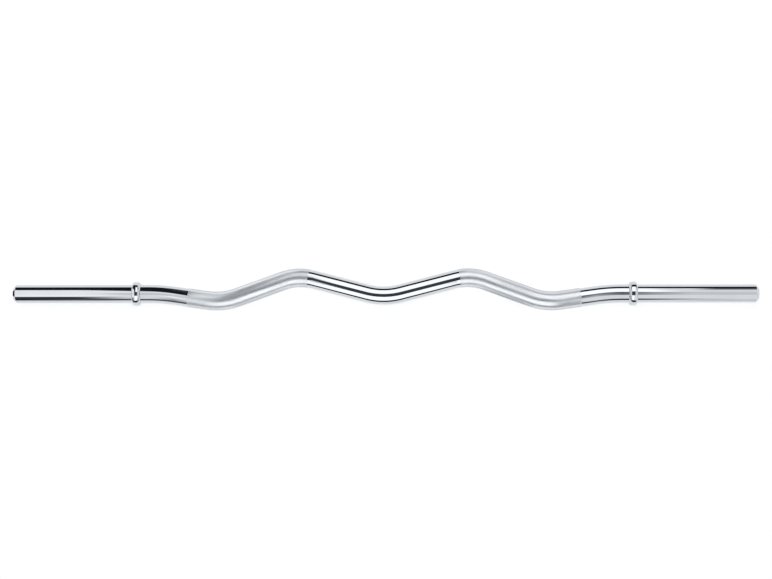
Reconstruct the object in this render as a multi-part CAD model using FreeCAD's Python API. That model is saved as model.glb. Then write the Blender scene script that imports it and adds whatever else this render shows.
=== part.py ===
import FreeCAD, Part
import math
import os

# A chromed curling bar: one bent solid steel bar with two welded stop rings, lying on a floor.
# X runs along the bar, Y across it towards the peaks of the handle's wave, and Z up.
# The origin is on the floor, under the middle of the whole bar. All lengths are millimetres.

# Bar stock
bar_length = 1200.0
bar_diameter = 30.0
sleeve_diameter = 29.6
end_chamfer = 4.5
end_edge_radius = 1.0

# Handle: corners of the centreline, reached one after another from the middle of the bar outwards
inner_reach = 140.0
grip_reach = 120.0
outer_reach = 100.0

# How far those corners lie off the axis of the two straight ends, in the plane of the wave
dip_offset = 7.0
peak_offset = 32.0
valley_offset = 15.0

# Bend radii of the centreline at the middle dip, the peaks, the valleys and the shoulders
dip_bend_radius = 100.0
peak_bend_radius = 80.0
valley_bend_radius = 90.0
shoulder_bend_radius = 300.0

# Knurled grip bands, placed along the centreline from the middle of the bar
knurl_start = 126.0
knurl_length = 200.5
knurl_rise = 0.3

# Stop rings, and the weld that holds each one on its grip side
neck_run = 10.1
weld_leg = 3.6
weld_height = 3.6
ring_width = 10.2
ring_wall = 4.7
ring_face_land = 0.7
ring_plate_edge_run = 3.5
ring_grip_edge_run = 1.1
ring_clearance = 0.05

# Sizes that follow from those above
bar_radius = bar_diameter / 2
sleeve_radius = sleeve_diameter / 2
knurl_radius = bar_radius + knurl_rise
half_length = bar_length / 2
ring_bore_radius = bar_radius + ring_clearance
ring_radius = ring_bore_radius + ring_wall

# Stations along X from the middle of the bar
peak_station = inner_reach
valley_station = peak_station + grip_reach
shoulder_station = valley_station + outer_reach
shoulder_turn = math.atan2(valley_offset, outer_reach)
weld_station = shoulder_station + shoulder_bend_radius * math.tan(shoulder_turn / 2) + neck_run
ring_grip_station = weld_station + weld_leg
ring_plate_station = ring_grip_station + ring_width
sleeve_length = half_length - ring_plate_station

Vector = FreeCAD.Vector
X_AXIS = Vector(1, 0, 0)
SIDES = {"left": -1, "right": 1}

# Where two bevels meet on the quarter round that they stand for, as a share of its run and of its fall
bevel_share = math.sqrt(1 / 2)


def line(begin, finish):
    return Part.LineSegment(begin, finish).toShape()


def arc(begin, middle, finish):
    return Part.Arc(begin, middle, finish).toShape()


def bend(before, corner, after, radius):
    """The begin, middle and finish of the arc that rounds a corner of the centreline."""
    back = (before - corner).normalize()
    ahead = (after - corner).normalize()
    inward = (back + ahead).normalize()
    half_angle = back.getAngle(ahead) / 2
    tangent_length = radius / math.tan(half_angle)
    middle = corner + inward * (radius / math.sin(half_angle) - radius)
    return corner + back * tangent_length, middle, corner + ahead * tangent_length


def centreline():
    """The edges of the bar's centreline from its left end to its right end."""
    right = [
        (Vector(peak_station, peak_offset, 0), peak_bend_radius),
        (Vector(valley_station, -valley_offset, 0), valley_bend_radius),
        (Vector(shoulder_station, 0, 0), shoulder_bend_radius),
    ]
    left = [(Vector(-corner.x, corner.y, 0), radius) for corner, radius in reversed(right)]
    dip = (Vector(0, -dip_offset, 0), dip_bend_radius)
    bends = left + [dip] + right
    ends = [Vector(side * half_length, 0, 0) for side in SIDES.values()]
    corners = [ends[0]] + [corner for corner, radius in bends] + [ends[1]]
    edges = []
    reached = ends[0]
    for before, (corner, radius), after in zip(corners, bends, corners[2:]):
        begin, middle, finish = bend(before, corner, after, radius)
        edges += [line(reached, begin), arc(begin, middle, finish)]
        reached = finish
    return edges + [line(reached, ends[1])]


def stretch(path, begin, finish):
    """The edges of a path between two lengths along it."""
    edges = []
    passed = 0
    for edge in path:
        first = max(begin - passed, 0)
        last = min(finish - passed, edge.Length)
        if first < last:
            limits = [edge.getParameterByLength(length) for length in (first, last)]
            edges.append(edge.Curve.toShape(*limits))
        passed += edge.Length
    return edges


def round_rod(edges, radius):
    """A solid rod of circular section along tangent edges."""
    begin = edges[0].FirstParameter
    section = Part.Circle(edges[0].valueAt(begin), edges[0].tangentAt(begin), radius)
    return Part.Wire(edges).makePipeShell([Part.Wire(section.toShape())], True, False)


def end_circles(shape):
    """The circular edges in the outer half of each sleeve."""
    sleeve_middle = half_length - sleeve_length / 2
    return [edge for edge in shape.Edges if edge.isClosed() and abs(edge.CenterOfMass.x) > sleeve_middle]


def bent_bar(path):
    """The whole bar: a handle with two proud knurled bands, and turned sleeves with bevelled ends."""
    whole = sum(edge.Length for edge in path)
    bands = [(sleeve_length, whole - sleeve_length, bar_radius)]
    for side in SIDES.values():
        knurl = sorted(whole / 2 + side * length for length in (knurl_start, knurl_start + knurl_length))
        sleeve = sorted(whole / 2 + side * length for length in (whole / 2 - sleeve_length, whole / 2))
        bands += [(*knurl, knurl_radius), (*sleeve, sleeve_radius)]
    rods = [round_rod(stretch(path, begin, finish), radius) for begin, finish, radius in bands]
    bar = rods[0].fuse(rods[1:])
    bar = bar.makeChamfer(end_chamfer, end_circles(bar))
    return bar.makeFillet(end_edge_radius, end_circles(bar))


def revolved(outline):
    """A solid whose outline, as corners in X and radius, turns about the axis of the bar's straight ends."""
    corners = [Vector(x, radius, 0) for x, radius in outline]
    return Part.Face(Part.makePolygon(corners + corners[:1])).revolve(Vector(), X_AXIS, 360)


def stop_ring(side):
    """A ring whose edge towards the plates falls away in two bevels, and towards its weld in one."""
    face_radius = ring_bore_radius + ring_face_land
    edge_fall = ring_radius - face_radius
    rim_station = ring_plate_station - ring_plate_edge_run
    outline = [
        (side * ring_grip_station, ring_bore_radius),
        (side * ring_grip_station, ring_bore_radius + weld_height),
        (side * (ring_grip_station + ring_grip_edge_run), ring_radius),
        (side * rim_station, ring_radius),
        (side * (rim_station + ring_plate_edge_run * bevel_share), face_radius + edge_fall * bevel_share),
        (side * ring_plate_station, face_radius),
        (side * ring_plate_station, ring_bore_radius),
    ]
    return revolved(outline)


def ring_weld(side):
    """The fillet weld in the corner between the bar and the grip side of a ring."""
    outline = [
        (side * weld_station, ring_bore_radius),
        (side * ring_grip_station, ring_bore_radius),
        (side * ring_grip_station, ring_bore_radius + weld_height),
    ]
    return revolved(outline)


def resting_place(path):
    """The pose in which both rings and both peaks touch the floor, with the origin amid the bar."""
    crest = max(edge.BoundBox.YMax for edge in path)
    trough = min(edge.BoundBox.YMin for edge in path)
    roll = math.asin((ring_radius - knurl_radius) / crest)
    aside = -(crest + trough) / 2 * math.cos(roll)
    return FreeCAD.Placement(Vector(0, aside, ring_radius), FreeCAD.Rotation(X_AXIS, -math.degrees(roll)))


path = centreline()
pieces = {"bent_bar": bent_bar(path)}
for name, side in SIDES.items():
    pieces[name + "_stop_ring"] = stop_ring(side)
    pieces[name + "_ring_weld"] = ring_weld(side)

place = resting_place(path)
os.makedirs("parts", exist_ok=True)
for name, shape in pieces.items():
    shape.Placement = place
    shape.exportStep("parts/" + name + ".step")
    print(name, shape.isValid(), len(shape.Solids), round(shape.Volume), shape.BoundBox)
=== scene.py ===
import math

import bmesh
import bpy
import numpy as np
from mathutils import Matrix, Vector


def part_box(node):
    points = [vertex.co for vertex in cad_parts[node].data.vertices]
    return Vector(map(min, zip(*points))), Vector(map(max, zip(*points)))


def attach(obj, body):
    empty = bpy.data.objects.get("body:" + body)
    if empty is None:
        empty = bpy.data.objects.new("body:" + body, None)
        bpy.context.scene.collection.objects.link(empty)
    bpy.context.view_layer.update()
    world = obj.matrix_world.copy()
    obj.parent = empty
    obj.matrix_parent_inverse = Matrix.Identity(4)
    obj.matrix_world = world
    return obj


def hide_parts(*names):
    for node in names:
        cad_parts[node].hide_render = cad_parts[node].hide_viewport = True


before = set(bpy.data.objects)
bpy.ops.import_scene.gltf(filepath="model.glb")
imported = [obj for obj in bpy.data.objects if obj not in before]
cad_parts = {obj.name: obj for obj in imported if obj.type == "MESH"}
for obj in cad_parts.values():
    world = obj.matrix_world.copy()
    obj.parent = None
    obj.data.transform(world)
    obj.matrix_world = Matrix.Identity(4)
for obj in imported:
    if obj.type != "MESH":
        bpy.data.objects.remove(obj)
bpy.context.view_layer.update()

# A chromed curling bar that lies on a white studio floor: one bent bar with two knurled grips,
# and two stop rings, each with its weld. X runs along the bar, Y across it towards the peaks of
# the handle's wave, and Z up. All lengths are metres.

# Bar stock, with the step under each ring down to the sleeve, and the bevelled ends
bar_radius = 0.015
sleeve_radius = 0.0148
sleeve_step_run = 0.001
end_bevel = 0.0045
end_edge_radius = 0.001
end_cap_radius = 0.001

# Handle: corners of the centreline, reached one after another from the middle of the bar outwards
inner_reach = 0.140
grip_reach = 0.120
outer_reach = 0.100

# How far those corners lie off the axis of the two straight ends, in the plane of the wave
dip_offset = 0.007
peak_offset = 0.032
valley_offset = 0.015

# Bend radii of the centreline at the middle dip, the peaks, the valleys and the shoulders
dip_bend_radius = 0.100
peak_bend_radius = 0.080
valley_bend_radius = 0.090
shoulder_bend_radius = 0.300

# Knurled grips: where they run along the centreline, and the diamonds rolled into them
knurl_start = 0.126
knurl_length = 0.2005
knurl_rise = 0.0003
knurl_groove = 0.00005
diamonds_around = 84
diamond_length = 0.00205
diamond_top_share = 0.86

# How deep the plain core under a grip and the knurl's inner skin lie below the bar's surface
knurl_core_depth = 0.00045
knurl_inner_depth = 0.0006

# Stop rings and their welds
ring_clearance = 0.00005
ring_wall = 0.0047
ring_plate_edge_radius = 0.0035
ring_grip_edge_radius = 0.0005
ring_crown_radius = 0.018
ring_crown_plate_slope = math.radians(3)
ring_crown_grip_slope = math.radians(13)
weld_height = 0.0036
weld_leg = 0.0036
weld_crown = 0.0004

# Ripples on the welds: their depth, their count around the bar, and their lag in half turns
weld_ripple = 0.00006
weld_ripples = 46
weld_ripple_lag = 1.1

# The small round on the edges of the rings' bores and of the bar's steps
fine_edge_radius = 0.0002

# How finely the skins are divided
around_bar = 128
around_ring = 160
around_weld = 276
steps_in_edge = 6
steps_up_weld = 10
bar_pitch = 0.002
knurl_inner_pitch = 0.004

# Samples that find the extent of the centreline, and the slack in lengths along it
line_samples = 4001
length_slack = 1e-9

# Places that follow from the frame and from the sizes above
half_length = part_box("bent_bar")[1].x
ring_grip_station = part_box("right_stop_ring")[0].x
ring_plate_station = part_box("right_stop_ring")[1].x
ring_bore_radius = bar_radius + ring_clearance
ring_radius = ring_bore_radius + ring_wall
knurl_radius = bar_radius + knurl_rise
knurl_finish = knurl_start + knurl_length
peak_station = inner_reach
valley_station = peak_station + grip_reach
shoulder_station = valley_station + outer_reach
sides = {"left": -1, "right": 1}

# Tints of the chrome where it is brightest and where it is dullest, and the painted shade in the knurl's
# grooves
white = (1.0, 1.0, 1.0)
polished_tints = ((0.665, 0.695, 0.725), (0.63, 0.66, 0.69))
knurl_tints = ((0.785, 0.817, 0.85), (0.75, 0.782, 0.815))
weld_tints = ((0.64, 0.67, 0.70), (0.58, 0.607, 0.635))
groove_shade_tint = (0.76, 0.79, 0.82)

# Painted shade on the knurl's reflections at its rim, where it is seen at a grazing angle: a darker tint
# that stands in for the diamonds shadowing each other
knurl_rim_shade = (0.6, 0.6, 0.6)

# Roughness where the plating is clear and where it is hazed, and what the polishing lines add to it
polished_roughness = (0.02, 0.05)
knurl_roughness = (0.29, 0.35)
weld_roughness = (0.06, 0.12)
polish_lines = 0.02
weld_lines = 0.03

# Haze, polishing lines and specks in the plating: how closely they lie and how much detail they have,
# and how much closer the lines lie along X than along Y and Z
haze_scale = 22.0
haze_detail = 4.0
line_scale = 260.0
line_detail = 3.0
line_closeness = (4.0, 0.6, 0.6)
speck_scale = 900.0
speck_detail = 2.0

# The range that noise mostly keeps to, the relief of lines and specks, and where the painted shade in a
# groove begins
noise_low = 0.3
noise_high = 0.7
relief_strength = 0.12
relief_depth = 0.00001
groove_shade_start = 0.2

# Camera: a long lens that looks almost straight down, a little from the side of the dip
camera_distance = 2.5
camera_elevation = math.radians(77)
camera_lean = math.radians(1.55)
camera_roll = math.radians(0.30)
camera_target = Vector((0.0033, 0.0005, 0.015))
camera_lens = 72.12

# Floor, the light that reaches it from all round, and the lamp that casts the shadow on it
floor_width = 6.0
floor_albedo = 0.8
floor_glow = 0.66
mottle_scale = 3.0
mottle_detail = 2.0
mottle_lift = 1.01
surround_light = 0.25
lamp_energy = 0.6
lamp_angle = math.radians(70)
lamp_turn = (math.radians(-12), math.radians(-10), 0.0)

# Light that the studio's panels give off, as it shows in the chrome
full_light = (1.5, 1.5, 1.5)
strong_light = (1.25, 1.25, 1.25)
soft_light = (1.16, 1.16, 1.16)
shade = (0.78, 0.79, 0.8)
deep_shade = (0.55, 0.56, 0.58)
grey_card = (0.36, 0.37, 0.39)
pale_cloth = (0.095, 0.1, 0.11)
grey_cloth = (0.06, 0.065, 0.075)
dark_gap = (0.05, 0.055, 0.065)
dark_cloth = (0.04, 0.045, 0.055)
black_cloth = (0.012, 0.012, 0.018)

# Sides of the studio and cards close to the bar: the axis that each one stands across, its place on
# that axis, and the step by which each later panel stands nearer to the bar
X, Y, Z = range(3)
panel_gap = 0.002
floor_panel_gap = 0.0002
walls = {
    "back": (Y, 1.0, -panel_gap),
    "front": (Y, -0.6, panel_gap),
    "top": (Z, 1.2, -panel_gap),
    "floor": (Z, 0.0, floor_panel_gap),
    "card": (Z, 0.3, 0.0),
    "low_card": (Z, 0.1, 0.0),
    "front_card": (Y, -0.1, 0.0),
    "back_card": (Y, 0.12, 0.0),
    "left_end": (X, -1.6, 0.0),
    "right_end": (X, 1.6, 0.0),
}

# Lights and cloths around the bar. A panel's across runs along X, or along Y on the end walls, and its
# span runs upwards, or along Y on a level panel. Where far_across is given, it takes the place of across
# at the end of the span. The edges fade within the feathers: two at the ends of across, then two at the
# ends of the span.
even_feathers = (0.06, 0.06, 0.06, 0.06)
panels = [
    dict(name="back_strip", wall="back", across=(-1.2, 0.9), span=(0.17, 0.79), level=black_cloth),
    dict(name="back_left_cloth", wall="back", across=(-1.4, -0.36), span=(0.17, 1.28),
         level=black_cloth),
    dict(name="back_left_grey_cloth", wall="back", across=(-0.52, -0.34), span=(0.17, 1.28),
         level=grey_cloth, feathers=(0.12, 0.06, 0.06, 0.06)),
    dict(name="back_right_cloth", wall="back", across=(0.62, 1.3), far_across=(0.86, 1.3),
         span=(0.17, 2.2), level=black_cloth, feathers=(0.1, 0.06, 0.06, 1.6)),
    dict(name="back_light", wall="back", across=(-0.33, 0.66), span=(0.73, 1.3), level=full_light),
    dict(name="left_overhead_light", wall="top", across=(-1.3, -0.52), span=(-0.7, 1.1),
         level=soft_light, feathers=(0.08, 0.14, 0.08, 0.08)),
    dict(name="top_back_light", wall="top", across=(-0.33, 0.7), span=(0.1, 1.1),
         level=full_light, feathers=(0.06, 0.1, 0.06, 0.06)),
    dict(name="top_left_far_cloth", wall="top", across=(-1.4, -0.7), span=(0.8, 1.04),
         level=black_cloth, feathers=(0.06, 0.06, 0.08, 0.02)),
    dict(name="top_left_cloth", wall="top", across=(-0.5, -0.32), far_across=(-0.93, -0.32),
         span=(0.02, 1.04), level=black_cloth, feathers=(0.06, 0.05, 0.05, 0.02)),
    dict(name="top_right_shade", wall="top", across=(0.5, 1.0), span=(-0.75, 0.2),
         level=shade, feathers=(0.15, 0.2, 0.15, 0.15)),
    dict(name="top_left_shade", wall="top", across=(-0.75, -0.45), span=(-0.62, 0.08),
         level=shade, feathers=(0.12, 0.1, 0.1, 0.14)),
    dict(name="camera_gap", wall="top", across=(-0.6, 0.72), span=(-0.72, 0.19),
         level=dark_gap, feathers=(0.13, 0.24, 0.08, 0.09)),
    dict(name="front_left_light", wall="front", across=(-1.3, -0.6), span=(0.45, 1.3),
         level=strong_light, feathers=(0.1, 0.1, 0.1, 0.1)),
    dict(name="front_light", wall="front", across=(-0.5, 0.4), far_across=(-0.5, 0.47),
         span=(0.1, 1.02), level=full_light, feathers=(0.06, 0.07, 0.06, 0.06)),
    dict(name="front_gap", wall="front", across=(-0.5, 0.5), span=(0.96, 1.4), level=dark_gap),
    dict(name="front_left_cloth", wall="front", across=(-1.1, -0.42), far_across=(-1.1, -0.54),
         span=(-0.1, 0.57), level=dark_cloth, feathers=(0.1, 0.14, 0.05, 0.1)),
    dict(name="front_strip", wall="front", across=(-1.1, 0.7), span=(-0.05, 0.165),
         level=black_cloth, feathers=(0.05, 0.26, 0.02, 0.05)),
    dict(name="front_left_strip", wall="front", across=(-0.76, -0.42), span=(-0.05, 0.165),
         level=pale_cloth, feathers=(0.16, 0.06, 0.02, 0.05)),
    dict(name="floor_cloth", wall="floor", across=(-1.1, 0.7), span=(-0.62, -0.125),
         level=black_cloth, feathers=(0.05, 0.26, 0.02, 0.03)),
    dict(name="floor_left_strip", wall="floor", across=(-0.76, -0.42), span=(-0.62, -0.1),
         level=pale_cloth, feathers=(0.16, 0.06, 0.02, 0.03)),
    dict(name="floor_right_shade", wall="floor", across=(0.45, 1.2), span=(-0.62, -0.03),
         level=shade, feathers=(0.1, 0.1, 0.02, 0.05)),
    dict(name="floor_left_cloth", wall="floor", across=(-0.725, -0.66), span=(-0.15, 0.2),
         level=black_cloth, feathers=(0.008, 0.008, 0.05, 0.05)),
    dict(name="left_grip_shade", wall="floor", across=(-0.25, -0.14), span=(-0.16, 0.0),
         level=shade, feathers=(0.02, 0.02, 0.03, 0.01)),
    dict(name="right_grip_shade", wall="floor", across=(0.14, 0.24), span=(-0.16, 0.0),
         level=deep_shade, feathers=(0.02, 0.02, 0.03, 0.01)),
    dict(name="left_grip_card", wall="card", across=(-0.295, -0.105), far_across=(-0.285, -0.115),
         span=(-0.06, 0.25), level=dark_gap, feathers=(0.03, 0.13, 0.03, 0.04)),
    dict(name="left_grip_fill", wall="low_card", across=(-0.325, -0.265), span=(-0.01, 0.16),
         level=white, feathers=(0.01, 0.02, 0.02, 0.05)),
    dict(name="left_grip_front_fill", wall="low_card", across=(-0.276, -0.224),
         far_across=(-0.186, -0.134), span=(-0.069, -0.034), level=strong_light,
         feathers=(0.015, 0.015, 0.008, 0.008)),
    dict(name="right_grip_fill", wall="low_card", across=(0.155, 0.275), span=(-0.05, 0.11),
         level=white, feathers=(0.05, 0.05, 0.09, 0.05)),
    dict(name="right_grip_end_fill", wall="low_card", across=(0.238, 0.318), span=(-0.028, 0.018),
         level=strong_light, feathers=(0.02, 0.01, 0.012, 0.02)),
    dict(name="right_grip_card", wall="front_card", across=(0.275, 0.345), far_across=(0.275, 0.35),
         span=(0.025, 0.15), level=grey_card, feathers=(0.035, 0.01, 0.01, 0.04)),
    dict(name="left_back_fill", wall="back_card", across=(-0.322, -0.15), span=(0.002, 0.1),
         level=soft_light, feathers=(0.015, 0.02, 0.002, 0.05)),
    dict(name="right_back_fill", wall="back_card", across=(0.12, 0.322), span=(0.002, 0.1),
         level=white, feathers=(0.02, 0.015, 0.002, 0.05)),
    dict(name="left_end_cloth", wall="left_end", across=(-0.6, 1.0), span=(0.08, 0.24),
         level=black_cloth, feathers=(0.06, 0.06, 0.03, 0.03)),
    dict(name="right_end_cloth", wall="right_end", across=(-0.6, 1.0), span=(0.08, 0.24),
         level=black_cloth, feathers=(0.06, 0.06, 0.03, 0.03)),
]


def run_along(heading, curvature, run):
    """How far a stretch of the centreline leads in x and y after a run along it."""
    turned = heading + curvature * run
    if curvature == 0:
        return np.stack([run * np.cos(turned), run * np.sin(turned)], -1)
    ahead = (np.sin(turned) - math.sin(heading)) / curvature
    aside = (math.cos(heading) - np.cos(turned)) / curvature
    return np.stack([ahead, aside], -1)


def centreline_stretches():
    """The length and the curvature of each straight run and each bend, from left to right."""
    right = [
        (peak_station, peak_offset, peak_bend_radius),
        (valley_station, -valley_offset, valley_bend_radius),
        (shoulder_station, 0.0, shoulder_bend_radius),
    ]
    left = [(-x, y, radius) for x, y, radius in reversed(right)]
    bends = np.array(left + [(0.0, -dip_offset, dip_bend_radius)] + right)
    corners = np.concatenate([[(-half_length, 0.0)], bends[:, :2], [(half_length, 0.0)]])
    runs = np.diff(corners, axis=0)
    turns = np.diff(np.arctan2(runs[:, 1], runs[:, 0]))
    radii = bends[:, 2]
    tangents = radii * np.tan(np.abs(turns) / 2)
    straights = np.hypot(runs[:, 0], runs[:, 1])
    straights[1:] -= tangents
    straights[:-1] -= tangents
    stretches = []
    for straight, turn, radius in zip(straights, turns, radii):
        stretches += [(straight, 0.0), (radius * abs(turn), math.copysign(1 / radius, turn))]
    return stretches + [(straights[-1], 0.0)]


class Centreline:
    """The bar's line in the plane of its wave, measured along itself from the middle of the bar."""

    def __init__(self, stretches):
        self.half = sum(length for length, curvature in stretches) / 2
        self.stretches = []
        passed = -self.half
        place = np.array([-half_length, 0.0])
        heading = 0.0
        for length, curvature in stretches:
            self.stretches.append((passed, place, heading, curvature))
            place = place + run_along(heading, curvature, length)
            heading = heading + curvature * length
            passed += length

    def at(self, lengths):
        """Places (x, y) and headings at lengths along the line."""
        lengths = np.asarray(lengths, float)
        places = np.zeros(lengths.shape + (2,))
        headings = np.zeros(lengths.shape)
        for begin, place, heading, curvature in self.stretches:
            beyond = lengths >= begin - length_slack
            run = lengths[beyond] - begin
            places[beyond] = place + run_along(heading, curvature, run)
            headings[beyond] = heading + curvature * run
        return places, headings


# The bar lies on its rings and on the peaks of its wave, which is centred across the origin
line = Centreline(centreline_stretches())
offsets = line.at(np.linspace(-line.half, line.half, line_samples))[0][:, 1]
rest_roll = math.asin((ring_radius - knurl_radius) / offsets.max())
rest_aside = -(offsets.max() + offsets.min()) / 2 * math.cos(rest_roll)
# How much more a length along the line is than the place on X, on the straight ends
end_excess = line.half - half_length


def at_rest(points, moved=True):
    """Points, or directions, of the wave's plane turned into the pose in which the bar lies."""
    x, y, z = points[..., 0], points[..., 1], points[..., 2]
    cosine, sine = math.cos(rest_roll), math.sin(rest_roll)
    turned = np.stack([x, cosine * y + sine * z, cosine * z - sine * y], -1)
    return turned + np.array([0.0, rest_aside, ring_radius]) if moved else turned


def skin(lengths, angles, radii, leans=None):
    """Places and outward directions on a skin about the centreline; leans tip these along the bar."""
    places, headings = line.at(lengths)
    along = np.stack([np.cos(headings), np.sin(headings), np.zeros_like(headings)], -1)
    across = np.stack([-np.sin(headings), np.cos(headings), np.zeros_like(headings)], -1)
    up = np.array([0.0, 0.0, 1.0])
    outward = across * np.sin(angles)[..., None] + up * np.cos(angles)[..., None]
    centres = np.concatenate([places, np.zeros_like(headings)[..., None]], -1)
    points = at_rest(centres + outward * np.asarray(radii)[..., None])
    if leans is None:
        return points, at_rest(outward, moved=False)
    tipped = outward * np.cos(leans)[..., None] + along * np.sin(leans)[..., None]
    return points, at_rest(tipped, moved=False)


def rounded_corner(before, here, after, rounding):
    """Points of (length, radius, lean) around one corner of a profile."""
    into = (here - before) / np.linalg.norm(here - before)
    out = (after - here) / np.linalg.norm(after - here)
    turn = math.atan2(into[0] * out[1] - into[1] * out[0], into @ out)
    lean = math.atan2(-into[1], into[0])
    tangent = rounding * math.tan(abs(turn) / 2)
    aside = math.copysign(rounding, turn)
    centre = here - into * tangent + aside * np.array([-into[1], into[0]])
    arc = []
    for step in range(steps_in_edge + 1):
        tipped = lean - turn * step / steps_in_edge
        outward = np.array([math.sin(tipped), math.cos(tipped)])
        arc.append((*(centre - aside * outward), tipped))
    return arc


def rounded(corners, closed=False):
    """A profile of (length, radius, lean) along corners of (length, radius, rounding)."""
    points = np.array([corner[:2] for corner in corners])
    last = len(points) - 1
    profile = []
    for index, (*_, rounding) in enumerate(corners):
        before, here, after = points[index - 1], points[index], points[(index + 1) % len(points)]
        if closed or 0 < index < last:
            profile += rounded_corner(before, here, after, rounding)
        else:
            run = after - here if index == 0 else here - before
            profile.append((*here, math.atan2(-run[1], run[0])))
    return profile


def spaced(profile, pitch):
    """The same profile with further points on its long straight stretches."""
    filled = [profile[0]]
    for before, after in zip(profile, profile[1:]):
        distance = math.hypot(after[0] - before[0], after[1] - before[1])
        pieces = max(1, math.ceil(distance / pitch))
        for step in range(1, pieces + 1):
            share = step / pieces
            filled.append(tuple(a + (b - a) * share for a, b in zip(before, after)))
    return filled


def swept(profile, around, side=1):
    """Points and normals of a profile of (length, radius, lean) carried around the centreline."""
    lengths, radii, leans = np.array(profile).T
    angles = np.arange(around) * 2 * math.pi / around
    grid = np.meshgrid(side * lengths, angles, indexing="ij")
    each = np.ones(around)
    points, normals = skin(*grid, radii[:, None] * each, side * leans[:, None] * each)
    return points.reshape(-1, 3), normals.reshape(-1, 3)


def loops(rings, around, closed=False):
    """The quads between one ring of points and the next."""
    faces = []
    for ring in range(rings if closed else rings - 1):
        following = (ring + 1) % rings
        for step in range(around):
            beside = (step + 1) % around
            faces.append((ring * around + step, ring * around + beside,
                          following * around + beside, following * around + step))
    return faces


def piece(name, points, faces, material, nodes, normals=None, flat=None):
    """A piece of the object, made of points and faces, which rides on the part's one body.

    Its faces are shaded by the points' normals, apart from those that touch a flat point.
    """
    mesh = bpy.data.meshes.new(name)
    mesh.from_pydata(points.tolist(), [], faces)
    body = bmesh.new()
    body.from_mesh(mesh)
    bmesh.ops.recalc_face_normals(body, faces=body.faces)
    body.to_mesh(mesh)
    body.free()
    mesh.materials.append(material)
    if normals is not None:
        mesh.shade_smooth()
        shading = []
        for face in mesh.polygons:
            plain = flat is not None and any(flat[vertex] for vertex in face.vertices)
            shading += [face.normal if plain else normals[vertex] for vertex in face.vertices]
        mesh.normals_split_custom_set(shading)
    made = bpy.data.objects.new(name, mesh)
    bpy.context.scene.collection.objects.link(made)
    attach(made, "root")
    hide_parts(*nodes)
    return made


def smooth_bar(material):
    """The whole bar, with a plain core where the knurled grips lie on it."""
    core_radius = bar_radius - knurl_core_depth
    sleeve_begin = ring_plate_station + end_excess
    end = line.half
    right = [
        (knurl_start, bar_radius, fine_edge_radius),
        (knurl_start + knurl_core_depth, core_radius, fine_edge_radius),
        (knurl_finish - knurl_core_depth, core_radius, fine_edge_radius),
        (knurl_finish, bar_radius, fine_edge_radius),
        (sleeve_begin - sleeve_step_run, bar_radius, fine_edge_radius),
        (sleeve_begin, sleeve_radius, fine_edge_radius),
        (end - end_bevel, sleeve_radius, end_edge_radius),
        (end, sleeve_radius - end_bevel, end_edge_radius),
        (end, end_cap_radius, 0.0),
    ]
    left = [(-length, radius, rounding) for length, radius, rounding in reversed(right)]
    profile = spaced(rounded(left + right), bar_pitch)
    points, normals = swept(profile, around_bar)
    faces = loops(len(profile), around_bar)
    last = (len(profile) - 1) * around_bar
    faces.append(tuple(range(around_bar)))
    faces.append(tuple(range(last, last + around_bar)))
    return piece("smooth_bar", points, faces, material, ["bent_bar"], normals)


def knurl_points(side, rows, inner_rings):
    """Places, outward directions and groove marks of a knurl's points.

    First come the corners where grooves meet, then each of the four corners of the diamonds' tops,
    and last the inner skin. The mark is 0 on the tops and 1 elsewhere.
    """
    pitch = 2 * math.pi / diamonds_around
    spacing = knurl_length / rows
    row, column = np.meshgrid(np.arange(rows + 1), np.arange(diamonds_around), indexing="ij")
    lengths = side * (knurl_start + row * spacing)
    angles = (column + row % 2 / 2) * pitch
    groove_angles = (column + row % 2 / 2 + 1 / 2) * pitch
    patches = [(lengths, groove_angles, knurl_radius - knurl_groove, 1.0)]
    for turn, shift in ((-pitch / 2, 0), (0, side * spacing), (pitch / 2, 0), (0, -side * spacing)):
        top_lengths = lengths[1:-1] + shift * diamond_top_share
        top_angles = angles[1:-1] + turn * diamond_top_share
        patches.append((top_lengths, top_angles, knurl_radius, 0.0))
    inner_lengths = side * (knurl_start + np.linspace(0, knurl_length, inner_rings))
    inner_angles = (np.arange(diamonds_around) + 1 / 2) * pitch
    inner_grid = np.meshgrid(inner_lengths, inner_angles, indexing="ij")
    patches.append((*inner_grid, bar_radius - knurl_inner_depth, 1.0))
    points, normals, marks = [], [], []
    for patch_lengths, patch_angles, radius, mark in patches:
        places, outward = skin(patch_lengths, patch_angles, np.full(patch_lengths.shape, radius))
        points.append(places.reshape(-1, 3))
        normals.append(outward.reshape(-1, 3))
        marks.append(np.full(patch_lengths.size, mark))
    return np.concatenate(points), np.concatenate(normals), np.concatenate(marks)


def knurl_corner(row, column):
    """The number of the point where grooves meet, by its row along the grip and its place around it."""
    return row * diamonds_around + column % diamonds_around


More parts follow.
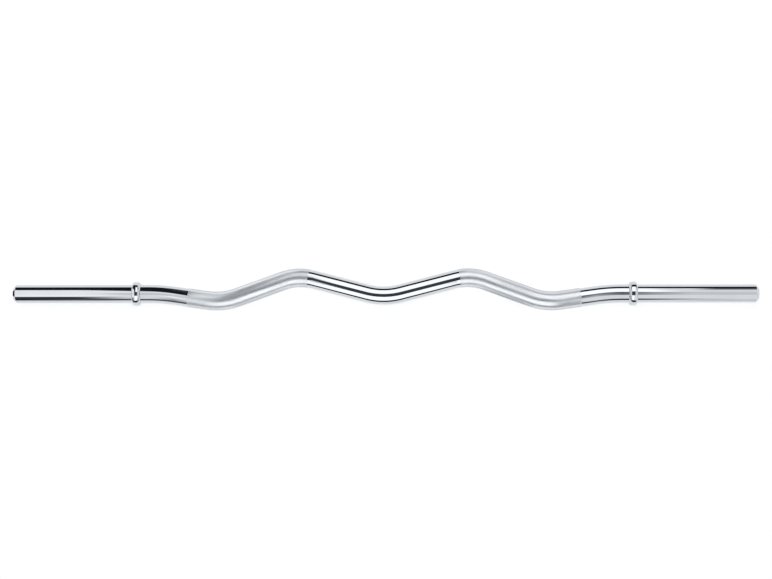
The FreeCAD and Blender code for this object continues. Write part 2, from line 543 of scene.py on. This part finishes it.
def knurl_faces(rows, inner_rings):
    """A knurl's faces: the diamonds' tops and flanks, half diamonds at both ends, and the inner skin."""
    quarters = 4
    tops = (rows + 1) * diamonds_around
    diamonds = (rows - 1) * diamonds_around
    inner = tops + quarters * diamonds
    last = inner + (inner_rings - 1) * diamonds_around
    faces = []
    for diamond in range(diamonds):
        row = 1 + diamond // diamonds_around
        column = diamond % diamonds_around
        beyond = column if row % 2 else column - 1
        foot = [knurl_corner(row, column - 1), knurl_corner(row + 1, beyond),
                knurl_corner(row, column), knurl_corner(row - 1, beyond)]
        top = [tops + quarter * diamonds + diamond for quarter in range(quarters)]
        faces.append(tuple(top))
        for quarter in range(quarters):
            after = (quarter + 1) % quarters
            faces.append((foot[quarter], foot[after], top[after], top[quarter]))
    for row, inward in ((0, 1), (rows, rows - 1)):
        for column in range(diamonds_around):
            tip = knurl_corner(inward, column - 1)
            faces.append((knurl_corner(row, column - 1), knurl_corner(row, column), tip))
    faces += [tuple(inner + point for point in face) for face in loops(inner_rings, diamonds_around)]
    for begin, row in ((inner, 0), (last, rows)):
        for column in range(diamonds_around):
            beside = (column + 1) % diamonds_around
            faces.append((knurl_corner(row, column), knurl_corner(row, column + 1),
                          begin + beside, begin + column))
    return faces


def knurl(name, side, material):
    """A grip's sleeve of flat-topped diamonds, which meet in grooves, closed by a plain inner skin.

    Rows of diamonds overlap by half, so that there are two rows to the length of a diamond.
    """
    rows = 2 * round(knurl_length / diamond_length)
    inner_rings = math.ceil(knurl_length / knurl_inner_pitch) + 1
    points, normals, marks = knurl_points(side, rows, inner_rings)
    faces = knurl_faces(rows, inner_rings)
    made = piece(name, points, faces, material, ["bent_bar"], normals, marks > 0)
    # The groove mark drives the painted shade in the grooves.
    groove = made.data.attributes.new("groove", "FLOAT", "POINT")
    groove.data.foreach_set("value", marks.astype(np.float32))
    return made


def stop_ring(side_name, side, material):
    """A crowned ring with a full round towards the plates and a smaller one towards its weld."""
    crown_begin = ring_grip_station + ring_grip_edge_radius
    crown_finish = ring_plate_station - ring_plate_edge_radius
    crown_station = (crown_begin + crown_finish) / 2
    half_turn = (ring_crown_plate_slope + ring_crown_grip_slope) / 2
    corner_lean = (ring_crown_plate_slope - ring_crown_grip_slope) / 2
    crown_corner = ring_radius + ring_crown_radius * (math.cos(corner_lean) / math.cos(half_turn) - 1)
    grip_corner = crown_corner - (crown_station - ring_grip_station) * math.tan(ring_crown_grip_slope)
    plate_corner = crown_corner - (ring_plate_station - crown_station) * math.tan(ring_crown_plate_slope)
    corners = [
        (ring_grip_station, ring_bore_radius, fine_edge_radius),
        (ring_grip_station, grip_corner, ring_grip_edge_radius),
        (crown_station, crown_corner, ring_crown_radius),
        (ring_plate_station, plate_corner, ring_plate_edge_radius),
        (ring_plate_station, ring_bore_radius, fine_edge_radius),
    ]
    outline = rounded(corners, closed=True)
    profile = [(station + end_excess, radius, lean) for station, radius, lean in outline]
    points, normals = swept(profile, around_ring, side)
    faces = loops(len(profile), around_ring, closed=True)
    name = side_name + "_stop_ring"
    return piece(name + "_turned", points, faces, material, [name], normals)


def ring_weld(side_name, side, material):
    """The bead in the corner between the bar and its ring: crowned, with the ripples of its passes."""
    shares = np.linspace(0, 1, steps_up_weld + 1)
    angles = np.arange(around_weld) * 2 * math.pi / around_weld
    share, angle = np.meshgrid(shares, angles, indexing="ij")
    swell = np.sin(math.pi * share)
    ripple = np.cos(weld_ripples * angle - weld_ripple_lag * swell * math.pi)
    rise = weld_crown * swell + weld_ripple * swell * ripple
    slant = math.atan2(weld_height, weld_leg)
    stations = ring_grip_station - weld_leg + weld_leg * share - rise * math.sin(slant)
    radii = ring_bore_radius + weld_height * share + rise * math.cos(slant)
    face = skin(side * (stations + end_excess), angle, radii)[0]
    seat_lengths = np.full(angles.shape, side * (ring_grip_station + end_excess))
    seat = skin(seat_lengths, angles, np.full(angles.shape, ring_bore_radius))[0]
    points = np.concatenate([face, seat[None]]).reshape(-1, 3)
    faces = loops(len(shares) + 1, around_weld, closed=True)
    name = side_name + "_ring_weld"
    made = piece(name + "_bead", points, faces, material, [name])
    made.data.shade_smooth()
    return made


def feed(tree, socket, value):
    """Gives a socket its value, or links it to another node's socket."""
    if isinstance(value, bpy.types.NodeSocket):
        tree.links.new(value, socket)
    else:
        socket.default_value = value


def node(tree, kind, *values, **named):
    """A shader node with values or links for its sockets, in their order or by their names."""
    made = tree.nodes.new(kind)
    for socket, value in zip(made.inputs, values):
        feed(tree, socket, value)
    for name, value in named.items():
        feed(tree, made.inputs[name.replace("_", " ")], value)
    return made


def opaque(colour):
    """A colour with full cover."""
    return (*colour, 1.0)


def noise(tree, place, scale, detail, closeness=(1.0, 1.0, 1.0)):
    """Soft noise over a surface, with its own closeness along each axis."""
    mapping = node(tree, "ShaderNodeMapping", Vector=place, Scale=closeness)
    made = node(tree, "ShaderNodeTexNoise", Vector=mapping.outputs[0], Scale=scale, Detail=detail)
    return made.outputs[0]


def spread(tree, value, low, high, begin=noise_low, finish=noise_high):
    """A value between begin and finish spread over the range from low to high."""
    made = node(tree, "ShaderNodeMapRange", Value=value, From_Min=begin, From_Max=finish,
                To_Min=low, To_Max=high)
    return made.outputs[0]


def combine(tree, operation, first, second):
    """Two values put together by arithmetic."""
    made = node(tree, "ShaderNodeMath", first, second)
    made.operation = operation
    return made.outputs[0]


def blend(tree, factor, first, second):
    """A colour between two colours."""
    made = tree.nodes.new("ShaderNodeMix")
    made.data_type = "RGBA"
    feed(tree, made.inputs["Factor"], factor)
    feed(tree, made.inputs["A"], first)
    feed(tree, made.inputs["B"], second)
    return made.outputs["Result"]


def new_material(name):
    """An empty node material with its output."""
    material = bpy.data.materials.new(name)
    material.use_nodes = True
    tree = material.node_tree
    tree.nodes.clear()
    return material, tree, tree.nodes.new("ShaderNodeOutputMaterial")


def chrome(name, tints, roughness, lines, rim_shade=white, shaded_grooves=False):
    """Chrome plating: slow changes of tint and haze, and fine polishing lines around the bar. It can
    carry painted shade in the grooves and on reflections seen at a grazing angle.
    """
    material, tree, output = new_material(name)
    place = tree.nodes.new("ShaderNodeTexCoord").outputs["Object"]
    haze = noise(tree, place, haze_scale, haze_detail)
    grain = noise(tree, place, line_scale, line_detail, line_closeness)
    specks = noise(tree, place, speck_scale, speck_detail)
    bright, dull = tints
    colour = blend(tree, spread(tree, haze, 0.0, 1.0), opaque(bright), opaque(dull))
    # Painted shade: the tint is darker in the knurl's grooves, where shade falls between the diamonds.
    if shaded_grooves:
        mark = node(tree, "ShaderNodeAttribute")
        mark.attribute_name = "groove"
        groove_shade = spread(tree, mark.outputs["Fac"], 0.0, 1.0, groove_shade_start, 1.0)
        colour = blend(tree, groove_shade, colour, opaque(groove_shade_tint))
    rough = combine(tree, "ADD", spread(tree, haze, *roughness), spread(tree, grain, 0.0, lines))
    relief = combine(tree, "ADD", grain, specks)
    bump = node(tree, "ShaderNodeBump", Strength=relief_strength, Distance=relief_depth, Height=relief)
    # Painted shade: the rim tint darkens reflections seen at a grazing angle, in place of the diamonds
    # shadowing each other.
    shader = node(tree, "ShaderNodeBsdfPrincipled", Base_Color=colour, Metallic=1.0, Roughness=rough,
                  Specular_Tint=opaque(rim_shade), Normal=bump.outputs[0])
    tree.links.new(shader.outputs[0], output.inputs["Surface"])
    return material


def bar_chrome():
    """Polished plating on the bar."""
    return chrome("bar_chrome", polished_tints, polished_roughness, polish_lines)


def knurl_chrome():
    """Satin plating on the grips, with painted shade in the grooves and a painted darker rim where it is
    seen at a grazing angle.
    """
    return chrome("knurl_chrome", knurl_tints, knurl_roughness, polish_lines, knurl_rim_shade, shaded_grooves=True)


def ring_chrome():
    """Polished plating on the turned rings."""
    return chrome("ring_chrome", polished_tints, polished_roughness, polish_lines)


def weld_chrome():
    """Duller plating over the weld beads."""
    return chrome("weld_chrome", weld_tints, weld_roughness, weld_lines)


def seen_directly(tree):
    """1 for rays from the camera or off metal or glass, and 0 for diffuse light."""
    path = tree.nodes.new("ShaderNodeLightPath")
    seen = path.outputs["Is Camera Ray"]
    for kind in ("Is Glossy Ray", "Is Transmission Ray"):
        seen = combine(tree, "MAXIMUM", seen, path.outputs[kind])
    return seen


def floor_material():
    """A white floor that keeps soft shadows and otherwise reads as the backdrop's white."""
    material, tree, output = new_material("studio_floor")
    place = tree.nodes.new("ShaderNodeTexCoord").outputs["Object"]
    mottle = noise(tree, place, mottle_scale, mottle_detail)
    plain = (floor_albedo,) * 3
    lifted = (floor_albedo * mottle_lift,) * 3
    paint = blend(tree, mottle, opaque(plain), opaque(lifted))
    matte = node(tree, "ShaderNodeBsdfDiffuse", Color=paint)
    strength = combine(tree, "MULTIPLY", seen_directly(tree), floor_glow)
    glow = node(tree, "ShaderNodeEmission", Strength=strength)
    both = node(tree, "ShaderNodeAddShader", matte.outputs[0], glow.outputs[0])
    tree.links.new(both.outputs[0], output.inputs["Surface"])
    material.cycles.emission_sampling = "NONE"
    return material


def sheet(name, corners, material):
    """A flat four-cornered stage sheet with a plain UV map."""
    mesh = bpy.data.meshes.new(name)
    mesh.from_pydata(corners, [], [(0, 1, 2, 3)])
    uv = mesh.uv_layers.new()
    for loop, place in zip(uv.data, ((0, 0), (1, 0), (1, 1), (0, 1))):
        loop.uv = place
    mesh.materials.append(material)
    made = bpy.data.objects.new(name, mesh)
    bpy.context.scene.collection.objects.link(made)
    return made


def studio_floor():
    """The floor on which the bar lies."""
    reach = floor_width / 2
    corners = [(-reach, -reach, 0), (reach, -reach, 0), (reach, reach, 0), (-reach, reach, 0)]
    return sheet("studio_floor", corners, floor_material())


def panel_material(name, shares, level):
    """An even light or cloth that fades out at its edges, within shares of its width and its height."""
    material, tree, output = new_material(name)
    place = tree.nodes.new("ShaderNodeTexCoord").outputs["UV"]
    across, along = node(tree, "ShaderNodeSeparateXYZ", Vector=place).outputs[:2]
    left, right, low, high = shares
    edges = [(across, 0, left), (across, 1, 1 - right), (along, 0, low), (along, 1, 1 - high)]
    fades = []
    for way, edge, inside in edges:
        fade = node(tree, "ShaderNodeMapRange", Value=way, From_Min=edge, From_Max=inside)
        fade.interpolation_type = "SMOOTHSTEP"
        fades.append(fade.outputs[0])
    cover = fades[0]
    for fade in fades[1:]:
        cover = combine(tree, "MULTIPLY", cover, fade)
    clear = tree.nodes.new("ShaderNodeBsdfTransparent")
    light = node(tree, "ShaderNodeEmission", Color=opaque(level))
    mixed = node(tree, "ShaderNodeMixShader", cover, clear.outputs[0], light.outputs[0])
    tree.links.new(mixed.outputs[0], output.inputs["Surface"])
    material.cycles.emission_sampling = "NONE"
    return material


def panel(order, name, wall, across, span, level, far_across=None, feathers=even_feathers):
    """A sheet of light or cloth around the bar, which shows only in the metal's reflections."""
    axis, place, step = walls[wall]
    begin, finish = span
    near_left, near_right = across
    far_left, far_right = far_across or across
    flat = [(near_left, begin), (near_right, begin), (far_right, finish), (far_left, finish)]
    corners = [(*corner[:axis], place + order * step, *corner[axis:]) for corner in flat]
    width = (near_right - near_left + far_right - far_left) / 2
    height = finish - begin
    left, right, low, high = feathers
    shares = (left / width, right / width, low / height, high / height)
    made = sheet(name, corners, panel_material(name, shares, level))
    made.visible_camera = False
    made.visible_diffuse = False
    made.visible_transmission = False
    made.visible_shadow = False
    return made


def studio_panels():
    """All the lights and cloths; on a side of the studio, each stands in front of those before it."""
    for order, row in enumerate(panels):
        panel(order, **row)


def studio_world():
    """White all round for what is seen directly, and a lower even light for the floor."""
    world = bpy.data.worlds.new("studio_world")
    bpy.context.scene.world = world
    world.use_nodes = True
    tree = world.node_tree
    tree.nodes.clear()
    strength = spread(tree, seen_directly(tree), surround_light, 1.0, 0.0, 1.0)
    background = node(tree, "ShaderNodeBackground", Color=opaque(white), Strength=strength)
    output = tree.nodes.new("ShaderNodeOutputWorld")
    tree.links.new(background.outputs[0], output.inputs["Surface"])


def studio_lamp():
    """One broad soft lamp overhead, for the floor's shadow."""
    lamp = bpy.data.lights.new("soft_lamp", "SUN")
    lamp.angle = lamp_angle
    lamp.energy = lamp_energy
    made = bpy.data.objects.new("soft_lamp", lamp)
    made.rotation_euler = lamp_turn
    made.visible_glossy = False
    bpy.context.scene.collection.objects.link(made)


def studio_camera():
    """The camera, by its tilt above the floor, its lean along the bar and its roll."""
    lean, tilt = camera_lean, camera_elevation
    back = Vector((math.sin(lean), -math.cos(lean) * math.cos(tilt), math.cos(lean) * math.sin(tilt)))
    right = Vector((0, 1, 0)).cross(back).normalized()
    up = back.cross(right)
    turned = Matrix((right, up, back)).transposed() @ Matrix.Rotation(camera_roll, 3, "Z")
    camera = bpy.data.cameras.new("camera")
    camera.lens = camera_lens
    made = bpy.data.objects.new("camera", camera)
    made.matrix_world = Matrix.Translation(camera_target + back * camera_distance) @ turned.to_4x4()
    bpy.context.scene.collection.objects.link(made)
    bpy.context.scene.camera = made


bar_plating = bar_chrome()
knurl_plating = knurl_chrome()
ring_plating = ring_chrome()
weld_plating = weld_chrome()

smooth_bar(bar_plating)
for side_name, side in sides.items():
    knurl(side_name + "_knurl", side, knurl_plating)
    stop_ring(side_name, side, ring_plating)
    ring_weld(side_name, side, weld_plating)

studio_floor()
studio_panels()
studio_world()
studio_lamp()
studio_camera()
bpy.context.scene.view_settings.view_transform = "Standard"
